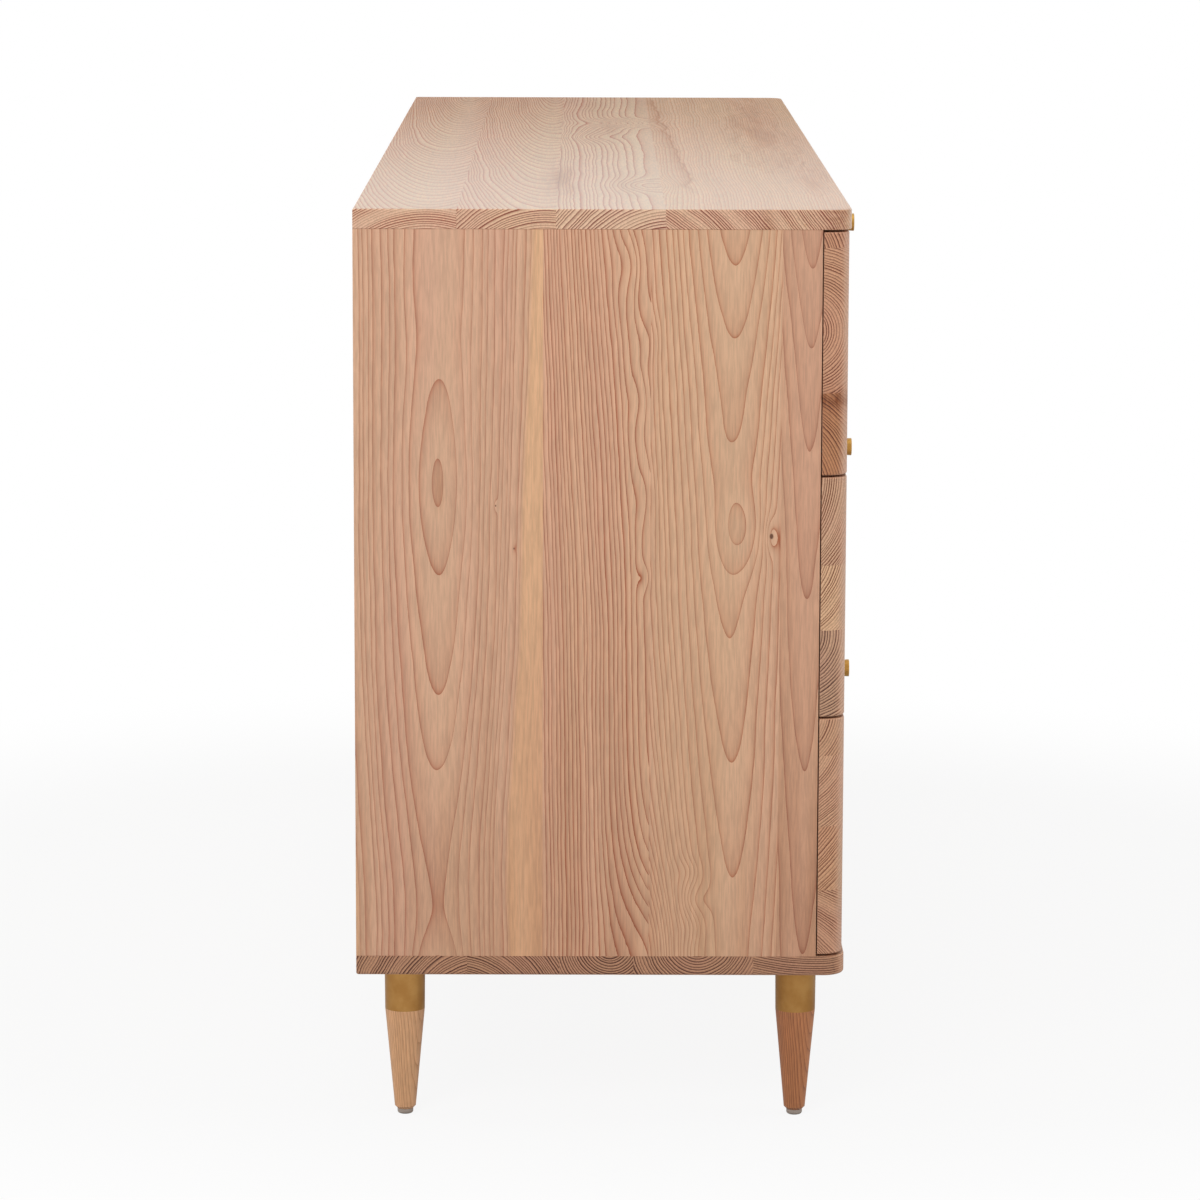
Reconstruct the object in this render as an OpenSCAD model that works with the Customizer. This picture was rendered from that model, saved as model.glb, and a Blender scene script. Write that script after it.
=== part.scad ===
// Six-drawer dresser in solid wood on four tapered legs, with brass ferrules and brass knobs.
// The origin is on the floor under the middle of the dresser's overall depth and length.
// +X runs along its length, -Y is the drawer side and +Z is up.

/* [Case] */
// Length of the top and bottom boards
case_w = 1676; // [1400:2:1900]
// Depth of the top and bottom boards
case_d = 458; // [450:1:560]
// Height from the floor to the upper face of the top board
overall_h = 864; // [800:1:960]
// Thickness of the top and bottom boards
board_t = 18.5; // [17:0.5:24]
// Thickness of the two side panels
side_t = 18.5; // [16:0.5:24]
// Thickness of the upright divider in the middle
divider_t = 18.5; // [18:0.5:24]
// Radius of the upright front corners, seen from above
corner_r = 20; // [6:1:22]
// How far the top and bottom boards stand proud of the drawer fronts
board_proud = 2; // [0.5:0.5:5]
// Rounding of the top board's upper edges
top_edge_r = 1.5; // [1:0.1:4]
// Rounding of the bottom board's lower edges
low_edge_r = 3; // [1:0.1:5]
// Rounding of the edges where the case's boards meet
joint_edge_r = 0.7; // [0.4:0.1:0.9]

/* [Back panel] */
// Thickness of the back panel
back_t = 6; // [4:0.5:9]
// How far the back panel lies in from the rear edges
back_recess = 3; // [1:0.5:6]
// Width of the rabbet that the back panel lies in
rabbet_w = 9; // [7:0.5:11]
// Length of the back panel's screws
back_screw_l = 25; // [16:1:30]

/* [Dowels] */
// Diameter of the dowels that join the boards
dowel_d = 8; // [6:1:10]
// How deep each dowel sits in the top or bottom board
dowel_in_board = 12; // [8:1:14]
// How deep each dowel sits in the end of an upright panel
dowel_in_panel = 20; // [12:1:30]
// Dowels in each joint
dowel_count = 5; // [3:1:8]

/* [Drawer fronts] */
// Thickness of the drawer fronts
front_t = 24; // [23:0.5:28]
// Rounding of the outer edges of the drawer fronts
front_edge_r = 1.5; // [0.8:0.1:3]
// Gap around the drawer fronts
front_gap = 2.2; // [1.6:0.1:3.6]
// Gap between a closed drawer front and the edge of the case
closing_gap = 1; // [0.8:0.1:2]
// Diameter of the clear bumpers behind the drawer fronts
bumper_d = 6; // [4:0.5:7]

/* [Knobs] */
// How far a knob stands out from its drawer front
knob_out = 26; // [20:0.5:34]
// Diameter of the knob's face
knob_d = 17.5; // [14:0.5:26]
// Diameter of the knob's neck
knob_neck_d = 9.5; // [8:0.5:12]
// Diameter of the knob's base on the drawer front
knob_base_d = 12.5; // [11:0.5:16]
// Distance from the upper edge of a drawer front down to the knob's centre
knob_down = 26.5; // [24:0.5:60]
// Diameter of the machine screw that holds the knob
knob_screw_d = 4; // [3:0.5:5]

/* [Drawer boxes] */
// Thickness of the sides, inner front and back of a drawer box
box_t = 13; // [11:0.5:16]
// Height that a drawer front reaches above and below its box
box_margin = 14; // [8:1:18]
// Thickness of the drawer bottom
bottom_t = 6; // [4:0.5:8]
// Height of the bottom panel's groove above the lower edge of the box
groove_up = 10; // [8:1:16]
// Depth of the groove in the box boards
groove_d = 6; // [4:0.5:7]
// Tails at each corner of a drawer box
tail_count = 4; // [3:1:5]
// Width of a tail at its root
tail_w = 27; // [16:1:30]
// How far each flank of a tail leans out towards its tip
tail_flare = 2; // [1:0.5:3]

/* [Drawer slides] */
// Length of the drawer slides, which is also how far a drawer pulls out
slide_l = 400; // [300:10:400]
// Height of the rails on the case
slide_h = 45; // [38:1:50]
// Space that a closed slide fills between the case and the drawer box
slide_space = 12.7; // [12.2:0.1:14]
// How far the rail on the case reaches out from its wall
rail_reach = 9.5; // [9.3:0.1:9.8]
// Thickness of the slides' steel strip
steel_t = 1.2; // [1:0.1:1.3]
// Width of the lips that keep one member inside the next
lip_w = 3; // [2.8:0.1:4]
// Running gap between one member of a slide and the next
run_gap = 0.4; // [0.3:0.05:0.5]
// Height of the slides' middle above the lower edge of the drawer box
slide_up = 74; // [50:1:90]
// Distance from the edge of the case back to the front end of the slides
slide_in = 3; // [2:0.5:6]

/* [Legs] */
// Height of the legs from the floor to the bottom board
leg_h = 145; // [110:1:190]
// Diameter of a ferrule at its upper end, against the bottom board
ferrule_top_d = 38.4; // [34:0.2:46]
// Diameter of a leg at the lower end of its ferrule
leg_top_d = 37.6; // [33:0.2:45]
// Diameter of a leg above the chamfer at its foot
leg_foot_d = 20; // [17:0.5:30]
// Height of a ferrule
ferrule_h = 42; // [20:1:60]
// Wall of a ferrule at its lower end
ferrule_t = 1.2; // [0.8:0.1:2]
// Distance from the edges of the bottom board to the middle of a leg
leg_inset = 44; // [36:1:90]
// Diameter of the plastic glide under a leg
glide_d = 15; // [10:0.5:16]
// Height of the plastic glide under a leg
glide_h = 5; // [3:0.5:8]
// Diameter of the bolt that holds a leg
bolt_d = 8; // [6:1:10]

/* [Hidden] */
$fn = 72;

// Small clearances: glue lines, screws in their holes, a tube on its tenon
glue_gap = 0.1;
hole_gap = 0.15;
fit_gap = 0.05;
panel_gap = 0.2;
// Air that a closed drawer leaves before its bumpers, its stops and the screw heads
rest_gap = 0.3;
// Overshoot of a cut past the face that it opens
cut = 1;

ROWS = ["top", "middle", "bottom"];
COLUMNS = ["left", "right"];
LEG_ROWS = ["front", "rear"];
PLACES = [for (c = COLUMNS) for (r = ROWS) str(c, "_", r)];
CORNERS = [for (r = LEG_ROWS) for (c = COLUMNS) str(r, "_", c)];

wood = [0.80, 0.62, 0.49];
pale_wood = [0.87, 0.76, 0.62];
ply = [0.84, 0.72, 0.56];
brass = [0.76, 0.58, 0.31];
steel = [0.72, 0.73, 0.75];
grey_plastic = [0.52, 0.51, 0.50];

// Depths, from the rear edges forward
y_rear = (case_d + knob_out - board_proud) / 2;
y_edge = y_rear - case_d;
y_face = y_edge + board_proud;
y_front = y_face + front_t;
y_case = y_front + closing_gap;
y_back = y_rear - back_recess - back_t;

// Heights, from the floor up
z_floor = leg_h + board_t;
z_ceiling = overall_h - board_t;

// The two bays between a side panel and the divider
bay_x0 = divider_t / 2;
bay_x1 = case_w / 2 - side_t;

// Drawer fronts
row_count = len(ROWS);
front_x0 = front_gap / 2;
front_x1 = case_w / 2;
front_h = (z_ceiling - z_floor - (row_count + 1) * front_gap) / row_count;
function front_z(row) = z_ceiling - (row + 1) * (front_h + front_gap);
knob_x = (front_x0 + front_x1) / 2;
function knob_z(row) = front_z(row) + front_h - knob_down;

// Drawer boxes, which run from the back of their front to just past the slides' rear end
box_x0 = bay_x0 + slide_space;
box_x1 = bay_x1 - slide_space;
box_h = front_h - 2 * box_margin;
box_tail_room = 2;
y_box = y_case + slide_in + slide_l + box_tail_room;
function box_z(row) = front_z(row) + box_margin;
tail_pitch = box_h / tail_count;

// Cross-section of a slide, measured from the case's wall towards the drawer
rail_stop_t = 1.5;
slide_y0 = y_case + slide_in;
slide_y1 = slide_y0 + slide_l;
member_y1 = slide_y1 - rail_stop_t - rest_gap;
rail_lip_x = rail_reach - steel_t;
middle_x1 = rail_lip_x - run_gap;
foot_x1 = middle_x1 - steel_t - run_gap;
foot_x0 = foot_x1 - steel_t;
middle_x0 = foot_x0 - run_gap - steel_t;
middle_half = slide_h / 2 - steel_t - run_gap;
middle_mouth = middle_half - lip_w;
member_half = middle_mouth - run_gap;
foot_half = middle_half - steel_t - run_gap;
function slide_z(row) = box_z(row) + slide_up;

// Screws of the slides, the drawer fronts and the back panel
rail_head_room = 0.5;
rail_head_h = middle_x0 - steel_t - rail_head_room;
rail_head_d = 7;
rail_screw_d = 3.5;
rail_screw_l = 12;
member_screw_l = 9;
member_head_h = 1.8;
rail_screw_in = 38;
rail_screw_step = (slide_l - 2 * rail_screw_in) / 2;
rail_screw_at = [for (i = [0:2]) rail_screw_in + i * rail_screw_step];
rail_screw_shift = 16;
front_screw_d = 4;
front_screw_head_d = 8;
front_screw_head_h = 2.2;
front_screw_in = 15;
front_screw_side = 70;
front_screw_edge = 45;
back_head_d = 7;
back_head_h = 2.4;
back_shank_d = 3.5;
back_screw_edge = 60;
back_screw_steps = 3;

// Knobs, from the drawer front outwards
knob_hole_gap = 0.6;
knob_base_h = 1.6;
knob_slope_h = 1.5;
knob_neck_h = 5.7;
knob_head_l = 9.9;
knob_head_taper = 0.5;
knob_edge = 0.7;
knob_screw_in = 10.4;

// Dowel places
dowel_front = 30;
dowel_rear = 40;
panel_xs = [-(bay_x1 + side_t / 2), 0, bay_x1 + side_t / 2];
dowel_step = (y_back - dowel_rear - y_case - dowel_front) / (dowel_count - 1);
dowel_ys = [for (i = [0:dowel_count - 1]) y_case + dowel_front + i * dowel_step];

// Legs
leg_x = case_w / 2 - leg_inset;
leg_ys = [y_edge + leg_inset, y_rear - leg_inset];
ferrule_z = leg_h - ferrule_h;
tenon_d = leg_top_d - 2 * ferrule_t;
foot_chamfer = 2.7;
glide_edge = 2.4;
glide_pin_d = 3;
glide_pin_l = 14;
bolt_in_leg = 45;
bolt_in_board = 12;
insert_d = 12;
insert_h = 13.5;

// A block given by its lowest and highest corners
module block(low, high) {
    translate(low) cube(high - low);
}

// Draws for the right bay, and mirrored for the left one
module in_bay(place) {
    if (place >= row_count) {
        children();
    } else {
        mirror([1, 0, 0]) children();
    }
}

// Draws twice, from each wall of the right bay inwards
module from_walls() {
    translate([bay_x0, 0, 0]) children();
    translate([bay_x1, 0, 0]) mirror([1, 0, 0]) children();
}

// Draws at both ends of the dresser
module both_ends() {
    children();
    mirror([1, 0, 0]) children();
}

// Draws at each leg
module at_legs() {
    for (x = [-leg_x, leg_x]) {
        for (y = leg_ys) {
            translate([x, y, 0]) children();
        }
    }
}

// Turns an outline in y and z into a plate of thickness t from x = 0
module plate(t) {
    rotate([90, 0, 90]) linear_extrude(t) children();
}

// Turns an outline in x and z into a bar that runs from y0 to y1
module bar(y0, y1) {
    translate([0, y1, 0]) rotate([90, 0, 0]) linear_extrude(y1 - y0) children();
}

// A rectangle from the origin with each corner rounded: near left, near right, far left, far right
module eased(w, h, radii) {
    difference() {
        square([w, h]);
        for (i = [0:3]) {
            if (radii[i] > 0) {
                translate([i % 2 * w, floor(i / 2) * h]) square(2 * radii[i], center = true);
            }
        }
    }
    for (i = [0:3]) {
        if (radii[i] > 0) {
            x = i % 2 == 0 ? radii[i] : w - radii[i];
            y = i < 2 ? radii[i] : h - radii[i];
            translate([x, y]) circle(radii[i]);
        }
    }
}

// A block of the given size from the origin, with the roundings of its corners as seen from the
// left end (y across), from the front (x across) and from above
module eased_block(size, end, front, plan) {
    intersection() {
        plate(size.x) eased(size.y, size.z, end);
        bar(0, size.y) eased(size.x, size.z, front);
        linear_extrude(size.z) eased(size.x, size.y, plan);
    }
}

// The square column at an upright front corner x, y, of height h from z0, that rounding it replaces
module corner_space(x, y, z0, h) {
    block([x - corner_r, y - cut, z0], [x + cut, y + corner_r, z0 + h]);
}

// What fills that column: a quarter of a disc, its rims eased by r_low below and r_high above
module corner_round(x, y, z0, h, r_low, r_high) {
    intersection() {
        translate([x - corner_r, y + corner_r, z0]) {
            rotate_extrude() eased(corner_r, h, [0, r_low, 0, r_high]);
        }
        corner_space(x, y, z0, h);
    }
}

// The space of the back panel, which its rabbets leave open to the rear
module back_space() {
    reach = bay_x1 + rabbet_w;
    block([-reach, y_back, z_floor - rabbet_w], [reach, y_rear + cut, z_ceiling + rabbet_w]);
}

module dowels(gap) {
    for (x = panel_xs) {
        for (y = dowel_ys) {
            for (z = [z_floor - dowel_in_board, z_ceiling - dowel_in_panel]) {
                translate([x, y, z - gap]) {
                    cylinder(d = dowel_d + 2 * gap, h = dowel_in_board + dowel_in_panel + 2 * gap);
                }
            }
        }
    }
}

// A board of the case with its two front corners rounded, and its edges eased below and above
module case_board(z0, r_low, r_high) {
    radii = [r_low, r_low, r_high, r_high];
    upright = [0, 0, joint_edge_r, joint_edge_r];
    difference() {
        union() {
            difference() {
                translate([-case_w / 2, y_edge, z0]) {
                    eased_block([case_w, case_d, board_t], radii, radii, upright);
                }
                both_ends() corner_space(case_w / 2, y_edge, z0 - cut, board_t + 2 * cut);
            }
            both_ends() corner_round(case_w / 2, y_edge, z0, board_t, r_low, r_high);
        }
        back_space();
        dowels(hole_gap);
        back_screw_holes();
    }
}

module top_board() {
    color(wood) case_board(z_ceiling, joint_edge_r, top_edge_r);
}

module bottom_board() {
    color(wood) {
        difference() {
            case_board(leg_h, low_edge_r, joint_edge_r);
            at_legs() {
                translate([0, 0, leg_h - cut]) {
                    cylinder(d = insert_d + 2 * hole_gap, h = cut + insert_h + hole_gap);
                }
            }
        }
    }
}

// A side panel, drawn for the right end of the case, with its rail screws moved back by shift
module side_panel(shift) {
    difference() {
        translate([bay_x1, y_case, z_floor]) {
            linear_extrude(z_ceiling - z_floor) {
                eased(side_t, y_rear - y_case, [joint_edge_r, joint_edge_r, 0, joint_edge_r]);
            }
        }
        back_space();
        dowels(hole_gap);
        back_screw_holes();
        for (row = [0:row_count - 1]) {
            translate([bay_x1, 0, 0]) mirror([1, 0, 0]) rail_screw_holes(row, shift);
        }
    }
}

module side_panel_left() {
    color(wood) mirror([1, 0, 0]) side_panel(rail_screw_shift);
}

module side_panel_right() {
    color(wood) side_panel(0);
}

// The screws of the left bay's rails go in further back than those of the right bay
module centre_divider() {
    color(wood) {
        difference() {
            translate([-bay_x0, y_case, z_floor]) {
                linear_extrude(z_ceiling - z_floor) {
                    eased(divider_t, y_back - y_case, [joint_edge_r, joint_edge_r, 0, 0]);
                }
            }
            dowels(hole_gap);
            back_screw_holes();
            for (row = [0:row_count - 1]) {
                translate([bay_x0, 0, 0]) rail_screw_holes(row, 0);
                mirror([1, 0, 0]) translate([bay_x0, 0, 0]) rail_screw_holes(row, rail_screw_shift);
            }
        }
    }
}

module back_panel() {
    reach = bay_x1 + rabbet_w - panel_gap;
    color(ply) {
        difference() {
            block(
                [-reach, y_back, z_floor - rabbet_w + panel_gap],
                [reach, y_back + back_t, z_ceiling + rabbet_w - panel_gap]
            );
            at_back_screws() back_screw(hole_gap);
        }
    }
}

// Draws at each screw of the back panel: up the sides and the divider, and along the two boards
module at_back_screws() {
    rise = (z_ceiling - z_floor - 2 * back_screw_edge) / back_screw_steps;
    run = (bay_x1 - back_screw_edge) / back_screw_steps;
    half_rabbet = rabbet_w / 2;
    for (x = [-bay_x1 - half_rabbet, 0, bay_x1 + half_rabbet]) {
        for (i = [0:back_screw_steps]) {
            translate([x, y_back + back_t, z_floor + back_screw_edge + i * rise]) children();
        }
    }
    for (z = [z_floor - half_rabbet, z_ceiling + half_rabbet]) {
        for (i = [-back_screw_steps:back_screw_steps]) {
            if (i != 0) {
                translate([i * run, y_back + back_t, z]) children();
            }
        }
    }
}

// A countersunk screw with its head flush at the origin and its shank along -Y
module back_screw(gap) {
    rotate([90, 0, 0]) {
        cylinder(d1 = back_head_d + 2 * gap, d2 = back_shank_d + 2 * gap, h = back_head_h);
        cylinder(d = back_shank_d + 2 * gap, h = back_screw_l + gap);
    }
}

module back_screw_holes() {
    at_back_screws() {
        rotate([90, 0, 0]) cylinder(d = back_shank_d + 2 * hole_gap, h = back_screw_l + hole_gap);
    }
}

module back_screws() {
    color(steel) at_back_screws() back_screw(0);
}

module case_dowels() {
    color(pale_wood) dowels(0);
}

// Bumper dots on the front edges of the sides and the divider, two at each end of a drawer front
module front_bumpers() {
    dot_in = 22;
    color("whitesmoke") {
        both_ends() {
            for (row = [0:row_count - 1]) {
                for (x = [bay_x0 / 2 + front_gap / 4, bay_x1 + side_t / 2]) {
                    for (z = [front_z(row) + dot_in, front_z(row) + front_h - dot_in]) {
                        translate([x, y_case, z]) {
                            rotate([90, 0, 0]) cylinder(d = bumper_d, h = closing_gap - rest_gap);
                        }
                    }
                }
            }
        }
    }
}

// A turned leg: tenon for the ferrule, straight taper and a small chamfer above the glide
module leg() {
    foot_r = leg_foot_d / 2;
    profile = [
        [0, glide_h],
        [foot_r - foot_chamfer, glide_h],
        [foot_r, glide_h + foot_chamfer],
        [leg_top_d / 2, ferrule_z],
        [tenon_d / 2, ferrule_z],
        [tenon_d / 2, leg_h],
        [0, leg_h]
    ];
    color(wood) {
        difference() {
            rotate_extrude() polygon(profile);
            translate([0, 0, leg_h - bolt_in_leg - hole_gap]) {
                cylinder(d = bolt_d + 2 * hole_gap, h = bolt_in_leg + cut);
            }
            translate([0, 0, glide_h - cut]) {
                cylinder(d = glide_pin_d + 2 * hole_gap, h = cut + glide_pin_l + hole_gap);
            }
        }
    }
}

// A brass tube that fits over the leg's tenon and carries on its taper up to the bottom board
module ferrule() {
    color(brass) {
        translate([0, 0, ferrule_z]) {
            difference() {
                cylinder(d1 = leg_top_d, d2 = ferrule_top_d, h = ferrule_h);
                translate([0, 0, -cut]) cylinder(d = tenon_d + 2 * fit_gap, h = ferrule_h + 2 * cut);
            }
        }
    }
}

// Nail-on glides with a rounded lower edge
module foot_glides() {
    flat_r = glide_d / 2 - glide_edge;
    edge = [for (a = [0:15:90]) [flat_r + glide_edge * sin(a), glide_edge * (1 - cos(a))]];
    color(grey_plastic) {
        at_legs() {
            rotate_extrude() polygon(concat([[0, 0]], edge, [[glide_d / 2, glide_h], [0, glide_h]]));
            translate([0, 0, glide_h - cut]) cylinder(d = glide_pin_d, h = cut + glide_pin_l);
        }
    }
}

// Hanger bolts, screwed up through the legs' tenons into the inserts
module leg_bolts() {
    color(steel) {
        at_legs() {
            translate([0, 0, leg_h - bolt_in_leg]) cylinder(d = bolt_d, h = bolt_in_leg + bolt_in_board);
        }
    }
}

module leg_inserts() {
    color(steel) {
        at_legs() {
            translate([0, 0, leg_h]) {
                difference() {
                    cylinder(d = insert_d, h = insert_h);
                    translate([0, 0, -cut]) {
                        cylinder(d = bolt_d + 2 * fit_gap, h = cut + bolt_in_board + hole_gap);
                    }
                }
            }
        }
    }
}

// The case member of a slide: a channel with turned-in lips, open towards the drawer
module rail_section() {
    half = slide_h / 2;
    difference() {
        translate([0, -half]) square([rail_reach, slide_h]);
        translate([steel_t, steel_t - half]) square([rail_lip_x - steel_t, slide_h - 2 * steel_t]);
        translate([rail_lip_x - cut, lip_w - half]) square([steel_t + 2 * cut, slide_h - 2 * lip_w]);
    }
}

// The middle member: a smaller channel that runs inside the case member's lips
module middle_section() {
    difference() {
        translate([middle_x0, -middle_half]) square([middle_x1 - middle_x0, 2 * middle_half]);
        translate([middle_x0 + steel_t, steel_t - middle_half]) {
            square([middle_x1 - middle_x0 - 2 * steel_t, 2 * (middle_half - steel_t)]);
        }
        translate([middle_x1 - steel_t - cut, -middle_mouth]) square([steel_t + 2 * cut, 2 * middle_mouth]);
    }
}

// The drawer member: a hat whose feet are held behind the middle member's lips
module member_section() {
    difference() {
        union() {
            translate([foot_x0, -member_half]) square([slide_space - foot_x0, 2 * member_half]);
            translate([foot_x0, -foot_half]) square([steel_t, 2 * foot_half]);
        }
        translate([foot_x0 - cut, steel_t - member_half]) {
            square([slide_space - steel_t - foot_x0 + cut, 2 * (member_half - steel_t)]);
        }
    }
}

// Draws at the screws of one slide, from the front end of its rail
module at_rail_screws(row, shift) {
    for (y = rail_screw_at) {
        translate([0, slide_y0 + y + shift, slide_z(row)]) children();
    }
}

// The holes that the case rail's screws need in the wood, from its face at x = 0 outwards
module rail_screw_holes(row, shift) {
    at_rail_screws(row, shift) {
        rotate([0, -90, 0]) {
            translate([0, 0, -cut]) {
                cylinder(d = rail_screw_d + 2 * hole_gap, h = cut + rail_screw_l + hole_gap);
            }
        }
    }
}

// One case rail, with a stop across its rear end
module case_rail(row, shift) {
    stop_half = slide_h / 4;
    difference() {
        union() {
            translate([0, 0, slide_z(row)]) bar(slide_y0, slide_y1) rail_section();
            block(
                [steel_t - fit_gap, slide_y1 - rail_stop_t, slide_z(row) - stop_half],
                [rail_lip_x, slide_y1, slide_z(row) + stop_half]
            );
        }
        at_rail_screws(row, shift) {
            rotate([0, 90, 0]) {
                translate([0, 0, -cut]) cylinder(d = rail_screw_d + 2 * hole_gap, h = steel_t + 2 * cut);
            }
        }
    }
}

module case_rails(shift) {
    color(steel) {
        for (row = [0:row_count - 1]) {
            from_walls() case_rail(row, shift);
        }
    }
}

module case_rails_left() {
    mirror([1, 0, 0]) case_rails(rail_screw_shift);
}

module case_rails_right() {
    case_rails(0);
}

// Pan-head screws through the webs of the case rails
module bay_rail_screws(shift) {
    for (row = [0:row_count - 1]) {
        from_walls() {
            at_rail_screws(row, shift) {
                rotate([0, -90, 0]) {
                    translate([0, 0, -steel_t - rail_head_h]) cylinder(d = rail_head_d, h = rail_head_h);
                    translate([0, 0, -steel_t - rail_head_h / 2]) {
                        cylinder(d = rail_screw_d, h = steel_t + rail_head_h / 2 + rail_screw_l);
                    }
                }
            }
        }
    }
}

module rail_screws() {
    color(steel) {
        bay_rail_screws(0);
        mirror([1, 0, 0]) bay_rail_screws(rail_screw_shift);
    }
}

module middle_rails(place) {
    row = place % row_count;
    color(steel) {
        in_bay(place) {
            from_walls() {
                translate([0, 0, slide_z(row)]) bar(slide_y0, member_y1) middle_section();
            }
        }
    }
}

// The two drawer members with their screws, and the screws that hold the show front on the box
module drawer_rails(place) {
    row = place % row_count;
    color(steel) {
        in_bay(place) {
            from_walls() {
                difference() {
                    translate([0, 0, slide_z(row)]) bar(slide_y0, member_y1) member_section();
                    at_rail_screws(row, 0) member_screw_hole(steel_t + cut);
                }
                at_rail_screws(row, 0) member_screw();
            }
            at_front_screws(row) front_screw();
        }
    }
}

// A hole from the drawer member's web into the drawer side, of the given length back from the side
module member_screw_hole(back) {
    translate([slide_space - back, 0, 0]) {
        rotate([0, 90, 0]) cylinder(d = rail_screw_d + 2 * hole_gap, h = back + member_screw_l + hole_gap);
    }
}

module member_screw() {
    head_x = slide_space - steel_t - hole_gap;
    translate([head_x - member_head_h, 0, 0]) {
        rotate([0, 90, 0]) {
            cylinder(d = rail_head_d, h = member_head_h);
            cylinder(d = rail_screw_d, h = member_head_h + hole_gap + steel_t + member_screw_l);
        }
    }
}

// Draws at the four screws of a show front, at the inner face of the box's front
module at_front_screws(row) {
    for (x = [box_x0 + front_screw_side, box_x1 - front_screw_side]) {
        for (z = [box_z(row) + front_screw_edge, box_z(row) + box_h - front_screw_edge]) {
            translate([x, y_front + box_t, z]) children();
        }
    }
}

module front_screw() {
    rotate([90, 0, 0]) {
        translate([0, 0, -front_screw_head_h - hole_gap]) {
            cylinder(d = front_screw_head_d, h = front_screw_head_h);
            cylinder(d = front_screw_d, h = front_screw_head_h + hole_gap + box_t + front_screw_in);
        }
    }
}

module front_screw_hole() {
    rotate([90, 0, 0]) {
        translate([0, 0, -cut]) {
            cylinder(d = front_screw_d + 2 * hole_gap, h = cut + box_t + front_screw_in + hole_gap);
        }
    }
}

// The way of the knob's screw through the show front and the box's front
module knob_screw_hole(row) {
    translate([knob_x, y_front + box_t + cut, knob_z(row)]) {
        rotate([90, 0, 0]) cylinder(d = knob_screw_d + knob_hole_gap, h = cut + box_t + front_t + cut);
    }
}

// The block of a show front with its lower inner corner at z0: its outer end is rounded like the
// corners of the boards, its face has eased edges and its back has sharper ones
module front_blank(z0) {
    r = front_edge_r;
    back = joint_edge_r;
    difference() {
        translate([front_x0, y_face, z0]) {
            eased_block(
                [front_x1 - front_x0, front_t, front_h],
                [r, back, r, back],
                [r, r, r, r],
                [r, 0, back, back]
            );
        }
        corner_space(front_x1, y_face, z0 - cut, front_h + 2 * cut);
    }
    corner_round(front_x1, y_face, z0, front_h, r, r);
}

module drawer_front(place) {
    row = place % row_count;
    color(wood) {
        in_bay(place) {
            difference() {
                front_blank(front_z(row));
                knob_screw_hole(row);
                at_front_screws(row) front_screw_hole();
            }
        }
    }
}

// The outline in y and z of all the tails at one end of a box side. The tails grow from their root
// at depth y_root to their tip at y_tip, and the sockets are the same shape with a gap around it.
module tails(row, y_root, y_tip, gap, over) {
    dir = sign(y_tip - y_root);
    lean = tail_flare / abs(y_tip - y_root);
    for (i = [0:tail_count - 1]) {
        z = box_z(row) + (i + 0.5) * tail_pitch;
        root_half = tail_w / 2 + gap - lean * over;
        tip_half = tail_w / 2 + tail_flare + gap + lean * over;
        polygon([
            [y_root - dir * over, z - root_half],
            [y_tip + dir * over, z - tip_half],
            [y_tip + dir * over, z + tip_half],
            [y_root - dir * over, z + root_half]
        ]);
    }
}

// The groove of the drawer bottom in all four boards of a box
module bottom_space(row, gap) {
    block(
        [box_x0 + box_t - groove_d - gap, y_front + box_t - groove_d - gap, box_z(row) + groove_up - gap],
        [
            box_x1 - box_t + groove_d + gap,
            y_box - box_t + groove_d + gap,
            box_z(row) + groove_up + bottom_t + gap
        ]
    );
}

// A box side at x0, with tails at both ends
module box_side(row, x0) {
    y0 = y_front + box_t + glue_gap;
    y1 = y_box - box_t - glue_gap;
    translate([x0, 0, 0]) {
        plate(box_t) {
            translate([y0, box_z(row)]) square([y1 - y0, box_h]);
            tails(row, y0, y_front, 0, 0);
            tails(row, y1, y_box, 0, 0);
        }
    }
}

// A box end between depths y0 and y1, with the sockets that the tails leave pins between
module box_end(row, y0, y1, y_root, y_tip) {
    difference() {
        block([box_x0, y0, box_z(row)], [box_x1, y1, box_z(row) + box_h]);
        for (x = [box_x0 - cut, box_x1 - box_t - glue_gap]) {
            translate([x, 0, 0]) plate(box_t + glue_gap + cut) tails(row, y_root, y_tip, glue_gap, cut);
        }
    }
}

// A dovetailed drawer box of four boards: two sides with tails, an inner front and a back with pins
module drawer_box(place) {
    row = place % row_count;
    color(pale_wood) {
        in_bay(place) {
            difference() {
                union() {
                    box_side(row, box_x0);
                    box_side(row, box_x1 - box_t);
                    box_end(row, y_front, y_front + box_t, y_front + box_t, y_front);
                    box_end(row, y_box - box_t, y_box, y_box - box_t, y_box);
                }
                bottom_space(row, panel_gap);
                knob_screw_hole(row);
                at_front_screws(row) front_screw_hole();
                from_walls() at_rail_screws(row, 0) member_screw_hole(cut);
            }
        }
    }
}

module drawer_bottom(place) {
    color(ply) in_bay(place) bottom_space(place % row_count, 0);
}

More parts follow.
